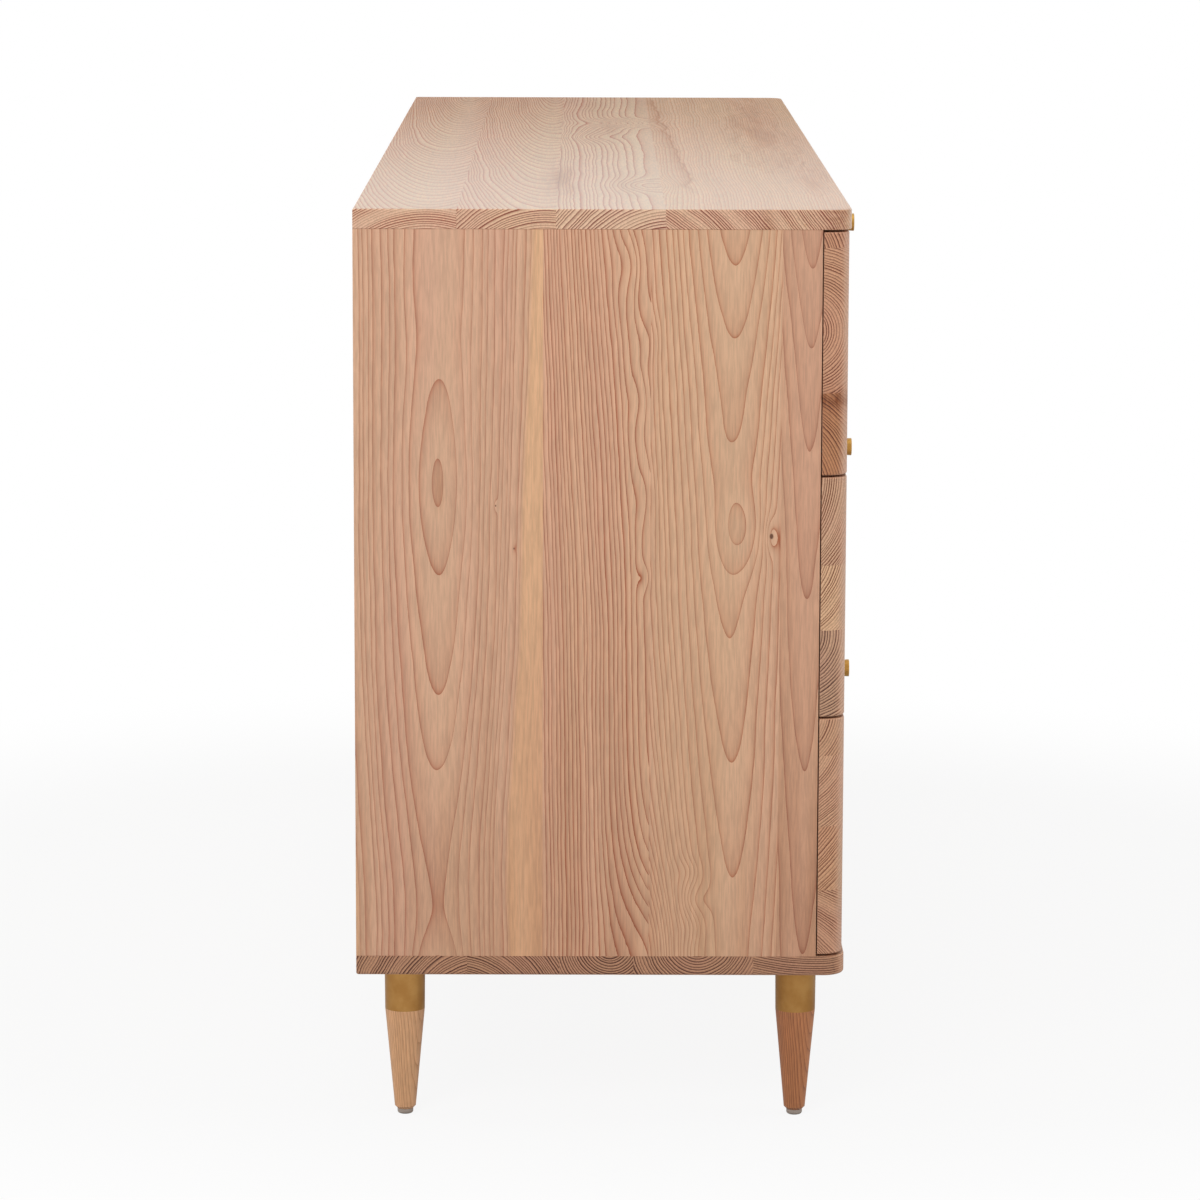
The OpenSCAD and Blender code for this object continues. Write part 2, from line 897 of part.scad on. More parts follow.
// A turned knob: base, neck, flare and a slightly tapered head with eased edges, and its screw
module knob(place) {
    row = place % row_count;
    base_r = knob_base_d / 2;
    neck_r = knob_neck_d / 2;
    face_r = knob_d / 2;
    head_r = face_r - knob_head_taper;
    flare_h = knob_out - knob_head_l - knob_neck_h;
    foot = [[0, 0], [base_r, 0], [base_r, knob_base_h], [neck_r, knob_base_h + knob_slope_h]];
    flare = [
        for (a = [0:22.5:180]) [
            neck_r + (head_r - neck_r) * (1 - cos(a)) / 2,
            knob_neck_h + flare_h * a / 180
        ]
    ];
    rim = [for (a = [0:22.5:90]) [face_r - knob_edge * (1 - cos(a)), knob_out - knob_edge * (1 - sin(a))]];
    color(brass) {
        in_bay(place) {
            translate([knob_x, y_face, knob_z(row)]) {
                rotate([90, 0, 0]) {
                    difference() {
                        rotate_extrude() polygon(concat(foot, flare, rim, [[0, knob_out]]));
                        translate([0, 0, -cut]) {
                            cylinder(d = knob_screw_d + 2 * hole_gap, h = cut + knob_screw_in + hole_gap);
                        }
                    }
                    translate([0, 0, -front_t - box_t - front_screw_head_h - hole_gap]) {
                        cylinder(d = front_screw_head_d, h = front_screw_head_h);
                        cylinder(
                            d = knob_screw_d,
                            h = front_screw_head_h + hole_gap + box_t + front_t + knob_screw_in
                        );
                    }
                }
            }
        }
    }
}

top_board();
bottom_board();
side_panel_left();
side_panel_right();
centre_divider();
back_panel();
case_dowels();
back_screws();
front_bumpers();
foot_glides();
leg_bolts();
leg_inserts();
case_rails_left();
case_rails_right();
rail_screws();
for (i = [0:len(CORNERS) - 1]) {
    place = [(i % 2 * 2 - 1) * leg_x, leg_ys[floor(i / 2)], 0];
    translate(place) leg();
    translate(place) ferrule();
}
for (i = [0:len(PLACES) - 1]) {
    drawer_front(i);
    drawer_box(i);
    drawer_bottom(i);
    knob(i);
    drawer_rails(i);
    middle_rails(i);
}
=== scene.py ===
"""A long low dresser in solid softwood on tapered legs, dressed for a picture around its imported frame."""

import math
import random

import bmesh
import bpy
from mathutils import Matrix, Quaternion, Vector


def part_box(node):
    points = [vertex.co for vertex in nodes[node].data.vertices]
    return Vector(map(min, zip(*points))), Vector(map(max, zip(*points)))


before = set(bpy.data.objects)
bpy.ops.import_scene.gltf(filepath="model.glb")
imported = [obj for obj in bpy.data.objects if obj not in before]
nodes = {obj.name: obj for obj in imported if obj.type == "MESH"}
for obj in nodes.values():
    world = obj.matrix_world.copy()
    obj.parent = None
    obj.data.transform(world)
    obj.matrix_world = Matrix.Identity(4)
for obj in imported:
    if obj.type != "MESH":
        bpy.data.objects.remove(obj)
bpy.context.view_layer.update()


# Bottom board
# Solid softwood, glued up from five staves that run the whole length of the dresser. Its end grain
# shows the growth rings as arcs. It is dowelled to the uprights and finished in a thin satin lacquer.
class Wire:
    """A socket among a material's nodes. Sums, products and comparisons of wires add Math nodes."""

    def __init__(self, socket):
        self.socket = socket
        self.tree = socket.id_data

    def node(self, kind, settings=(), sockets=(), out=0):
        """One output of a new node, of which the settings are set first and then the sockets."""
        made = self.tree.nodes.new(kind)
        for name, value in dict(settings).items():
            setattr(made, name, value)
        for name, value in dict(sockets).items():
            if isinstance(value, Wire):
                self.tree.links.new(value.socket, made.inputs[name])
            else:
                made.inputs[name].default_value = value
        return Wire(made.outputs[out])

    def math(self, operation, *values):
        return self.node("ShaderNodeMath", {"operation": operation}, enumerate(values))

    def __add__(self, other):
        return self.math("ADD", self, other)

    def __sub__(self, other):
        return self.math("SUBTRACT", self, other)

    def __rsub__(self, other):
        return self.math("SUBTRACT", other, self)

    def __mul__(self, other):
        return self.math("MULTIPLY", self, other)

    def __truediv__(self, other):
        return self.math("DIVIDE", self, other)

    def __pow__(self, other):
        return self.math("POWER", self, other)

    def __gt__(self, other):
        return self.math("GREATER_THAN", self, other)

    def __mod__(self, other):
        return self.math("FLOORED_MODULO", self, other)

    def __abs__(self):
        return self.math("ABSOLUTE", self)

    def exp(self):
        return self.math("EXPONENT", self)

    __radd__ = __add__
    __rmul__ = __mul__

    def ease(self, low, high):
        """0 below low, 1 above high and a smooth rise between, or a fall where low is the higher one."""
        sockets = {"Value": self, "From Min": low, "From Max": high}
        return self.node("ShaderNodeMapRange", {"interpolation_type": "SMOOTHSTEP"}, sockets)

    def mix(self, none, full):
        """The colour none where this wire is 0 and full where it is 1."""
        # A Mix node takes its two colours at sockets 6 and 7 and gives the mix at output 2.
        return self.node("ShaderNodeMix", {"data_type": "RGBA"}, {0: self, 6: none, 7: full}, out=2)

    def by(self, other):
        """This colour or vector times another, channel by channel."""
        return self.node("ShaderNodeVectorMath", {"operation": "MULTIPLY"}, {0: self, 1: other})

    def tint(self, amount):
        """This colour times amount, a number that varies over the surface."""
        return self.node("ShaderNodeVectorMath", {"operation": "SCALE"}, {0: self, "Scale": amount})

    def split(self):
        """The three channels of this vector."""
        parts = self.node("ShaderNodeSeparateXYZ", sockets={0: self}).socket.node.outputs
        return [Wire(part) for part in parts]

    def noise(self, scale=1.0, detail=2, roughness=0.5):
        """Noise from 0 to 1, mostly near a half, with about scale marks in each unit of this vector."""
        sockets = {"Vector": self, "Scale": scale, "Detail": detail, "Roughness": roughness}
        return self.node("ShaderNodeTexNoise", sockets=sockets)

    def line_noise(self, detail=1):
        """The same along a single number, with a mark in each unit."""
        settings = {"noise_dimensions": "1D"}
        return self.node("ShaderNodeTexNoise", settings, {"W": self, "Scale": 1.0, "Detail": detail})


def join(x, y, z):
    """A vector from three wires."""
    return x.node("ShaderNodeCombineXYZ", sockets={0: x, 1: y, 2: z})


def speckle(place, along, across, start=0, **more):
    """Noise with this many marks per metre along the grain and across it, moved along by start."""
    a, c, d = place
    return join(a * along + start, c * across, d * across).noise(**more)


def srgb(red, green, blue):
    """A screen colour, with channels from 0 to 255, as a linear one for a shader."""
    linear = [(c / 255 + 0.055) / 1.055 for c in (red, green, blue)]
    return tuple(c**2.4 for c in linear) + (1.0,)


class Finish:
    """A material, the place and facing that its nodes start from, and the shader that they end in."""

    def __init__(self, name, roughness=0.5, metallic=0.0, ior=1.5):
        self.material = bpy.data.materials.new(name)
        self.material.use_nodes = True
        self.shader = self.material.node_tree.nodes["Principled BSDF"]
        self.shader.inputs["Roughness"].default_value = roughness
        self.shader.inputs["Metallic"].default_value = metallic
        self.shader.inputs["IOR"].default_value = ior
        surface = Wire(self.shader.outputs[0])
        self.place = surface.node("ShaderNodeTexCoord", out="Object")
        self.facing = surface.node("ShaderNodeTexCoord", out="Normal")

    def feed(self, name, wire):
        """Leads a wire to the shader's socket of this name."""
        self.material.node_tree.links.new(wire.socket, self.shader.inputs[name])

    def emboss(self, height, depth):
        """Bumps of height 0 to 1, which stand depth metres high."""
        sockets = {"Height": height, "Distance": depth, "Strength": 1.0}
        self.feed("Normal", height.node("ShaderNodeBump", sockets=sockets))

    def cover(self, *names):
        """Gives the pieces of these names this material alone."""
        for name in names:
            nodes[name].data.materials.clear()
            nodes[name].data.materials.append(self.material)


NO_SAPWOOD = 9.0


def stave(low, pith, level, ring, pale=(212, 172, 144), dark=(150, 76, 34), **more):
    """One board of a glued-up panel. Low is its lower edge across the panel, pith and level are the
    middle of its growth rings across and through the panel, and ring is their spacing, in metres.
    Climb is how much the pith comes nearer per metre along, lean crowds the rings to one side,
    wander is how far they stray, and sap is the radius outside which the wood is pale sapwood. Line
    is how dark the rings' lines are. End_pale, end_dark and end_line are for the cut ends, where the
    finish soaks in and makes the wood darker. Seed sets one stave's figure apart from the next."""
    usual = {"climb": 0.0, "lean": 0.0, "wander": 0.006, "sap": NO_SAPWOOD, "line": 0.85, "end_line": 1.5}
    usual["seed"] = 37 * low + 91 * ring
    usual.update(low=low, pith=pith, level=level, ring=ring)
    usual.update(pale=pale, dark=dark, end_pale=pale, end_dark=dark)
    board = {**usual, **more}
    for tone in ("pale", "dark", "end_pale", "end_dark"):
        board[tone] = srgb(*board[tone])
    return board


STAIN_AND_SHADE = (0.60, 0.44, 0.30)
RESINOUS = (0.74, 0.50, 0.26)
VEINED = (0.66, 0.42, 0.22)
PINKER = (1.0, 0.975, 0.98, 1)
YELLOWER = (1.0, 1.015, 0.98, 1)
KNOT = (104, 66, 44)


def grow(finish, place, facing, staves, swells=(), knots=(), stains=(), pitch=(), veins=(),
         sapwood=(219, 172, 135), sheen=0.42, relief=0.000025):
    """Solid wood. Place and facing give the position and the surface's normal as three numbers each:
    along the grain, across the staves that lie side by side, and through them. Swells and knots, at
    places along and across, push the rings out of line. Stains darken softly, and some of them are
    painted shade; pitch stands in patches with crisp edges, and a vein is a thin brown line that
    wanders along the grain."""
    a, c, d = place
    steps = [c > board["low"] for board in staves[1:]]

    def pick(key):
        """What the stave at each place has under this key."""
        value = staves[0][key]
        for step, below, board in zip(steps, staves, staves[1:]):
            if board[key] != below[key]:
                value = step * (board[key] - below[key]) + value
        return value

    def pick_colour(key):
        colour = staves[0][key]
        for step, board in zip(steps, staves[1:]):
            colour = step.mix(colour, board[key])
        return colour

    def spot(at, over, reach, width):
        """Falls from 1 at a place to 0 around it."""
        far = ((a - at) / reach) ** 2 + ((c - over) / width) ** 2
        return (far * -1).exp()

    seed = pick("seed")
    fibre = speckle(place, 45, 620, roughness=0.6)
    streak = speckle(place, 9, 260) - 0.5
    swirl = speckle(place, 1.7, 10, seed) - 0.5
    wave = speckle(place, 11, 42, seed) - 0.5
    stray = (a * 2.2 + seed).line_noise() - 0.5

    # Side and deep run from the pith, across the staves and through them. The rings lie round it.
    side = c - pick("pith") + stray * 0.012 + swirl * pick("wander")
    side = side + wave * 0.0040 + (fibre - 0.5) * 0.0006
    deep = d - pick("level") + a * pick("climb")
    centre = (side * side + deep * deep) ** 0.5
    radius = side * pick("lean") + centre
    for at, over, reach, width, height in swells:
        radius = radius + spot(at, over, reach, width) * height
    core = 0
    for at, over, size in knots:
        radius = radius + spot(at, over, size * 5, size * 1.7) * size * 2
        core = spot(at, over, size * 0.9, size * 0.6).ease(0.3, 0.7) + core

    # A year's growth darkens slowly and ends in a line less than a millimetre wide. It is measured
    # on the surface, so that it stays as fine where the surface runs along the rings. Cut is 1 on
    # the sawn ends.
    head_on = (side * facing[1] + deep * facing[2]) / centre
    slope = (1.01 - head_on * head_on) ** 0.5
    rings = radius / pick("ring") + (radius * 120 + seed).line_noise() * 1.2
    phase = rings % 1.0
    to_line = (1 - phase) * pick("ring") / slope
    cut = abs(facing[0]).ease(0.55, 0.9)
    line = (to_line / (cut * 0.0001 - 0.0007)).exp()
    late = phase**2 * (0.34 - cut * 0.18) + line * 0.80
    band = (radius * 75 + seed).line_noise(detail=2).ease(0.3, 0.7)
    sap = radius.ease(pick("sap") - 0.003, pick("sap") + 0.002)
    cloud = speckle(place, 3, 22, seed, detail=3, roughness=0.6)
    blush = speckle(place, 1.3, 17, seed, detail=1).ease(0.35, 0.65)

    depth = pick("line") * (1 - cut) + pick("end_line") * cut * (0.45 + band)
    strength = late * depth * (0.55 + cloud * 0.75) * (1 - sap * 0.85)
    pale = sap.mix(cut.mix(pick_colour("pale"), pick_colour("end_pale")), srgb(*sapwood))
    dark = cut.mix(pick_colour("dark"), pick_colour("end_dark"))
    pale = pale.tint(0.93 + band * 0.06 + cloud * 0.09)
    pale = pale.by(blush.mix(PINKER, YELLOWER))
    colour = strength.mix(pale, dark)
    colour = colour.tint(0.90 + fibre.ease(0.30, 0.70) * 0.20 + streak * 0.10)
    smear = join(a * 3 + seed, c * 60, d * 300).noise(detail=3).ease(0.35, 0.65)
    # Some of these stains are painted shade, which darkens where less light falls.
    for at, over, reach, width, depth in stains:
        stain = spot(at, over, reach, width) * (smear * 0.6 + 0.4) * depth
        colour = stain.mix(colour, colour.by(STAIN_AND_SHADE))
    blot = speckle(place, 5, 60, detail=5, roughness=0.65)
    for at, over, reach, width, depth in pitch:
        soaked = spot(at, over, reach, width) + (blot - 0.5) * 2.2
        rim = soaked.ease(0.42, 0.46) * soaked.ease(0.58, 0.48)
        stain = (soaked.ease(0.42, 1.3) * 0.7 + rim * 0.45) * depth
        colour = stain.mix(colour, colour.by(RESINOUS))
    for over, climb, begin, end, depth in veins:
        path = (a * 6 + over * 90).line_noise(detail=2) * 0.026 + (a * climb + over - 0.013)
        vein = (abs(c - path) / -0.0014).exp() * 0.8 + (abs(c - path - 0.004) / -0.006).exp() * 0.4
        vein = vein * a.ease(begin, begin + 0.2) * a.ease(end, end - 0.1) * depth
        colour = vein.mix(colour, colour.by(VEINED))
    if knots:
        colour = core.mix(colour, srgb(*KNOT))
    finish.feed("Base Color", colour)
    finish.feed("Roughness", fibre * 0.12 + cut * 0.12 - strength * 0.04 + sheen)
    finish.emboss(fibre, relief)
    return finish


AXIS_X = 0
AXIS_Y = 1
AXIS_Z = 2


def timber(name, grain, across, staves, **more):
    """A finish of solid wood, with its grain along one of the dresser's axes and its staves side by
    side along another."""
    finish = Finish(name)
    through = AXIS_X + AXIS_Y + AXIS_Z - grain - across
    order = (grain, across, through)
    place = finish.place.split()
    facing = finish.facing.split()
    return grow(finish, [place[n] for n in order], [facing[n] for n in order], staves, **more)


bottom_low, bottom_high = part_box("bottom_board")
under = bottom_low.z
above = bottom_high.z
sawn = {"end_pale": (191, 143, 112), "end_dark": (70, 26, 8)}
bottom_staves = [
    stave(-0.2170, -0.190, above + 0.220, 0.0022, pale=(204, 160, 131), end_line=2.1, **sawn),
    stave(-0.1315, -0.080, above + 0.016, 0.0026, pale=(200, 154, 124), end_line=2.6, **sawn),
    stave(-0.0190, 0.0035, above + 0.010, 0.0024, pale=(200, 155, 125), end_line=2.6, **sawn),
    stave(0.0507, 0.152, under - 0.055, 0.0023, pale=(203, 156, 127), end_line=2.3, **sawn),
    stave(0.1371, 0.118, under - 0.045, 0.0026, pale=(205, 158, 129), end_line=2.6, wander=0.014, **sawn),
]
timber("bottom_wood", AXIS_X, AXIS_Y, bottom_staves).cover("bottom_board")

# Side panels and divider
# Upright staves, glued edge to edge and dowelled between the boards. From the front, the left panel
# has a narrow pinkish stave, a pale one with a small knot, a dense wavy one and a broad plain-sawn one.
side_low, side_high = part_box("side_panel_left")
outside = side_low.x
left_staves = [
    stave(-0.1900, -0.177, outside + 0.052, 0.0034, pale=(206, 160, 131), dark=(136, 56, 20), climb=0.020,
          line=0.7),
    stave(-0.1533, -0.108, outside + 0.0841, 0.0031, pale=(214, 172, 141), dark=(156, 70, 18), climb=0.018,
          line=0.8),
    stave(-0.0329, -0.038, outside + 0.020, 0.0037, pale=(215, 171, 141), dark=(150, 66, 22), line=1.05),
    stave(0.0664, 0.154, outside + 0.060, 0.0036, pale=(211, 168, 140), dark=(152, 64, 20), lean=-0.15,
          sap=0.1005, line=0.75),
]
# Each swell is a place up the panel and across it, its reach both ways, and how far it shifts the
# rings.
left_swells = [
    # The closed ring and the foot of the broad stave
    (0.607, 0.163, 0.075, 0.030, -0.0042),
    (0.745, 0.163, 0.040, 0.030, 0.0016),
    (0.200, 0.166, 0.200, 0.200, 0.0110),
    (0.150, 0.166, 0.030, 0.020, -0.005),
    # The arches of the pale stave, its small ring and the waves near its foot
    (0.950, -0.108, 0.250, 0.200, -0.008),
    (0.568, -0.117, 0.036, 0.020, -0.0052),
    (0.655, -0.108, 0.036, 0.030, -0.0010),
    (0.245, -0.070, 0.012, 0.014, 0.0035),
    (0.218, -0.078, 0.012, 0.014, -0.0035),
    (0.190, -0.072, 0.014, 0.014, 0.0030),
    # The wavy lines of the dense stave
    (0.523, -0.027, 0.012, 0.006, 0.0040),
    (0.145, -0.032, 0.105, 0.034, 0.026),
    (0.950, 0.025, 0.320, 0.060, -0.016),
    (0.815, -0.012, 0.024, 0.013, 0.005),
    (0.745, -0.030, 0.022, 0.012, 0.0025),
    (0.690, -0.022, 0.024, 0.009, 0.0035),
    (0.600, -0.026, 0.026, 0.009, 0.0035),
    # The heads of the broad stave and of the narrow one
    (0.870, 0.170, 0.060, 0.030, 0.0014),
    (0.760, -0.163, 0.200, 0.017, 0.0034),
]
left_knots = [(0.562, -0.145, 0.0034), (0.590, 0.110, 0.0012), (0.550, 0.093, 0.0012)]
left_stains = [
    # The first is painted shade: it darkens the lower part of the panel, where less light falls.
    (0.08, -0.02, 0.34, 0.40, 0.42),
    (0.20, -0.182, 0.26, 0.030, 0.20),
    (0.606, 0.162, 0.020, 0.004, 0.7),
]
left_wood = timber("left_side_wood", AXIS_Z, AXIS_Y, left_staves, swells=left_swells, knots=left_knots,
                   stains=left_stains)
left_wood.cover("side_panel_left")


def any_staves(seed, low, high, level, widths=(0.07, 0.13)):
    """Staves of random widths and rings, to fill a panel from low to high."""
    chance = random.Random(seed)
    found = []
    while low < high - widths[0] / 2:
        width = chance.uniform(*widths)
        tone = chance.uniform(-7, 7)
        redder = chance.uniform(-3, 4)
        found.append(
            stave(
                low,
                low + width * chance.uniform(-0.3, 1.3),
                level + chance.choice((-1, 1)) * chance.uniform(0.025, 0.08),
                chance.uniform(0.0026, 0.0038),
                pale=(211 + tone, 171 + tone - redder, 145 + tone - redder),
                dark=(148 + tone, 76 + tone - redder, 36 + tone - redder),
                line=0.65,
                end_pale=(204 + tone, 156 + tone, 124 + tone),
                end_dark=(96, 42, 14),
                end_line=1.9,
                climb=chance.uniform(-0.035, 0.035),
                lean=chance.uniform(-0.2, 0.2),
                wander=chance.uniform(0.004, 0.010),
                seed=chance.uniform(0, 90),
            )
        )
        low += width
    return found


right_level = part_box("side_panel_right")[0].x
right_staves = any_staves(4, side_low.y, side_high.y, right_level)
timber("right_side_wood", AXIS_Z, AXIS_Y, right_staves).cover("side_panel_right")
divider_staves = any_staves(9, side_low.y, side_high.y, 0.0)
timber("divider_wood", AXIS_Z, AXIS_Y, divider_staves).cover("centre_divider")

# Top board
# Made like the bottom board, from four paler staves. Its upper face shows broad loops, and brown
# resin in its front stave. The lacquer is glossiest at the left end and rubbed towards the right.
top_low, top_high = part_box("top_board")
face = top_high.z
top_staves = [
    stave(-0.2170, 0.100, face - 0.220, 0.0022, pale=(218, 185, 151), dark=(188, 100, 24), wander=0.010,
          line=0.85, end_pale=(227, 188, 157), end_dark=(120, 40, 2), end_line=2.0),
    stave(-0.0459, -0.052, face - 0.095, 0.0029, pale=(222, 191, 161), dark=(172, 78, 8), line=1.35,
          end_pale=(229, 192, 163), end_dark=(114, 36, 2), end_line=2.0),
    stave(0.0546, 0.066, face - 0.055, 0.0024, pale=(219, 187, 156), dark=(176, 82, 10), climb=-0.050,
          line=1.40, end_pale=(227, 188, 157), end_dark=(120, 40, 2), end_line=1.9),
    stave(0.1458, 0.172, face - 0.065, 0.0022, pale=(219, 187, 157), dark=(178, 88, 14), climb=-0.060,
          wander=0.010, line=1.35, end_pale=(226, 187, 158), end_dark=(134, 50, 6), end_line=1.7),
]
# Places on the top are along the dresser and across it, from the middle.
top_swells = [
    (0.350, -0.010, 0.060, 0.040, 0.016),
    (0.120, 0.020, 0.080, 0.030, -0.010),
    (-0.560, -0.030, 0.070, 0.030, -0.010),
]
top_stains = [
    (0.25, -0.165, 0.42, 0.050, 0.45),
    (-0.30, -0.192, 0.26, 0.028, 0.35),
    (-0.50, 0.056, 0.19, 0.012, 0.75),
    (0.20, 0.010, 0.22, 0.020, 0.45),
    (-0.55, -0.015, 0.14, 0.018, 0.40),
    # Painted shade: this one darkens the whole right end of the top, which gets less light.
    (0.95, 0.0, 0.55, 0.60, 0.38),
    (top_low.x, -0.206, 0.015, 0.016, 0.7),
    (top_low.x, -0.139, 0.010, 0.006, 0.6),
]
top_pitch = [(0.15, -0.165, 0.55, 0.034, 1.0), (-0.50, -0.195, 0.20, 0.018, 0.9)]
top_veins = [(-0.066, 0.016, -0.70, 0.84, 1.0), (0.052, 0.020, -0.78, -0.30, 0.7)]
top_finish = Finish("top_wood")
top_place = top_finish.place.split()
worn = top_place[0].ease(top_low.x, top_high.x)
rubbed = worn * 0.30 + 0.32
grow(top_finish, top_place, top_finish.facing.split(), top_staves, top_swells, stains=top_stains,
     pitch=top_pitch, veins=top_veins, sheen=rubbed, relief=0.00002)
top_finish.shader.inputs["Coat Roughness"].default_value = 0.36
top_finish.feed("Coat Weight", 0.38 - worn * 0.28)
top_finish.cover("top_board")

# Back panel
# One sheet of birch plywood with its face grain along the dresser. It lies in the rabbets at the back
# of the case, and its screws go into the sides, the divider and the two boards.
PLIES = 5


def veneer(name, across, through, thickness):
    """Plywood with its face grain along the dresser, and its plies showing at the edges."""
    finish = Finish(name, roughness=0.55)
    axes = finish.place.split()
    place = (axes[AXIS_X], axes[across], axes[through])
    figure = speckle(place, 0.9, 5, detail=3, roughness=0.45)
    peel = ((figure * 9) % 1.0) ** 2
    fibre = speckle(place, 30, 700, roughness=0.6)
    cloud = speckle(place, 2, 9)
    edge = abs(finish.facing.split()[through]).ease(0.7, 0.4)
    crosswise = ((axes[through] / (thickness / PLIES)) % 2.0) > 1.0
    grain = speckle(place, 6, 240).ease(0.5, 0.75)
    colour = (peel * 0.30 + grain * 0.18).mix(srgb(228, 201, 168), srgb(203, 166, 128))
    colour = (edge * crosswise).mix(colour, srgb(176, 134, 96))
    colour = colour.tint(0.90 + fibre * 0.12 + cloud * 0.08)
    finish.feed("Base Color", colour)
    finish.emboss(fibre, 0.00010)
    return finish


back_low, back_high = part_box("back_panel")
veneer("back_plywood", AXIS_Z, AXIS_Y, back_high.y - back_low.y).cover("back_panel")

# Dowels
# Beech dowels that join the two boards to the uprights. They are glued into the boards and into the
# ends of the uprights.
ONE_PIECE = -1.0
dowel_staves = [stave(ONE_PIECE, 0.03, 0.30, 0.0020, pale=(222, 186, 150), dark=(190, 148, 112), line=0.6)]
timber("beech", AXIS_Z, AXIS_X, dowel_staves).cover("case_dowels")

# Screws, bolts and inserts
# Screws and hanger bolts of zinc-plated steel, with a slightly uneven satin coat. The bolts go up
# through the legs into threaded brass inserts in the bottom board.
def plated(name, colour, streak_axis, roughness=0.34):
    """Plated or solid metal with fine streaks along one axis."""
    finish = Finish(name, metallic=1.0)
    marks = [900.0, 900.0, 900.0]
    marks[streak_axis] = 14.0
    streak = finish.place.by(marks).noise()
    bloom = finish.place.noise(35, detail=3, roughness=0.6)
    base = finish.place.node("ShaderNodeRGB")
    base.socket.default_value = srgb(*colour)
    finish.feed("Base Color", base.tint(0.90 + streak * 0.06 + bloom * 0.12))
    finish.feed("Roughness", roughness - 0.05 + streak * 0.06 + bloom * 0.08)
    finish.emboss(streak, 0.00002)
    return finish


plated("zinc_screws", (196, 200, 206), AXIS_Y).cover("back_screws", "leg_bolts", "rail_screws")
plated("brass_inserts", (190, 158, 96), AXIS_Z).cover("leg_inserts")

# Legs
# Turned from solid wood, one blank each, with the grain running down. The two rear ones are pale and
# the two front ones redder.
leg_tones = {
    "front_left": ((183, 119, 78), (108, 52, 22)),
    "front_right": ((190, 130, 91), (126, 72, 40)),
    "rear_left": ((217, 170, 127), (168, 112, 66)),
    "rear_right": ((212, 166, 127), (174, 120, 78)),
}
for corner, (pale_tone, dark_tone) in leg_tones.items():
    leg_low, leg_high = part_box("leg_" + corner)
    middle = (leg_low + leg_high) / 2
    blank = stave(ONE_PIECE, middle.y + 0.045, middle.x + 0.020, 0.0022, pale=pale_tone, dark=dark_tone,
                  wander=0.003, line=0.8)
    timber("leg_wood_" + corner, AXIS_Z, AXIS_Y, [blank]).cover("leg_" + corner)

# Ferrules
# Brass tube, turned and brushed round, under a clear matt lacquer. Each is pushed over the tenon of
# its leg, up to the bottom board. The front ones are a little darker, as painted shade.
BRASS = (184, 139, 81)
DULL_BRASS = (171, 124, 68)
ferrule_finish = Finish("ferrule_brass", metallic=1.0)
x, y, height = ferrule_finish.place.split()
turning = (height * 3200).line_noise(detail=2)
patina = ferrule_finish.place.noise(60, detail=3).ease(0.3, 0.7)
brass = patina.mix(srgb(*BRASS), srgb(*DULL_BRASS)).tint(0.94 + turning * 0.08)
# Painted shade: the front ferrules, on the side away from the light, are made a tenth darker.
ferrule_finish.feed("Base Color", brass.tint(0.90 + y.ease(-0.1, 0.1) * 0.10))
ferrule_finish.feed("Roughness", 0.34 + patina * 0.08 + turning * 0.04)
ferrule_finish.emboss(turning, 0.00003)
ferrule_finish.cover(*["ferrule_" + corner for corner in leg_tones])

# Glides
# Grey nylon with a fine moulded grain, scuffed at the lower edge. Each glide has a pin that is driven
# up into its leg.
glide_finish = Finish("grey_plastic")
height = glide_finish.place.split()[AXIS_Z]
grain = glide_finish.place.noise(1500)
scuff = glide_finish.place.by((260, 260, 120)).noise(detail=3) * height.ease(0.004, 0.0)
glide_finish.feed("Base Color", scuff.mix(srgb(163, 151, 141), srgb(122, 110, 101)))
glide_finish.feed("Roughness", 0.5 + grain * 0.15)
glide_finish.emboss(grain, 0.00004)
glide_finish.cover("foot_glides")

# Slides
# Roll-formed steel strip, zinc-plated, with streaks along the strip. The case members are screwed to
# the uprights, and the drawer members to the drawer sides.
PLACES = [side + "_" + row for side in ("left", "right") for row in ("top", "middle", "bottom")]
slide_finish = plated("zinc_strip", (188, 193, 200), AXIS_Y, roughness=0.30)
slide_finish.cover("case_rails_left", "case_rails_right")
slide_finish.cover(*["middle_rails_" + place for place in PLACES])
slide_finish.cover(*["drawer_rails_" + place for place in PLACES])

# Drawer boxes
# Dovetailed from 13 mm boards of pale wood, sanded smooth. The grain runs round each box: along the
# sides, where the tails are, and across the inner front and the back, where the pins are.
BOX_BOARD = 0.013
TAIL_HALF = 0.0135
TAIL_FLARE = 0.002
TAILS = 4
for number, place in enumerate(PLACES):
    box_low, box_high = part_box("drawer_box_" + place)
    middle = (box_low + box_high) / 2
    half = (box_high - box_low) / 2
    pitch = 2 * half.z / TAILS
    finish = Finish("box_wood_" + place)
    x, y, z = finish.place.split()
    # Across is 1 in the two sides. Along rises from 0 to 1 through the front or the back board.
    across = abs(x - middle.x) > half.x - BOX_BOARD
    along = (abs(y - middle.y) - (half.y - BOX_BOARD)) / BOX_BOARD
    from_tail = abs((z - box_low.z) % pitch - pitch / 2)
    pin = (along > 0.0) * (from_tail > along * TAIL_FLARE + TAIL_HALF)
    in_side = across * (1 - pin)
    nx, ny, nz = finish.facing.split()
    place_in_board = (in_side * y + (1 - in_side) * x, z, in_side * x + (1 - in_side) * y)
    facing_in_board = (in_side * ny + (1 - in_side) * nx, nz, in_side * nx + (1 - in_side) * ny)
    chance = random.Random(20 + number)
    planks = [
        stave(ONE_PIECE, middle.z + chance.uniform(-0.10, 0.10), chance.uniform(0.5, 0.9), 0.0042,
              pale=(229, 203, 166), dark=(204, 168, 126), wander=0.012, line=0.7, seed=7.3 * number)
    ]
    grow(finish, place_in_board, facing_in_board, planks, sapwood=(232, 210, 176))
    finish.cover("drawer_box_" + place)

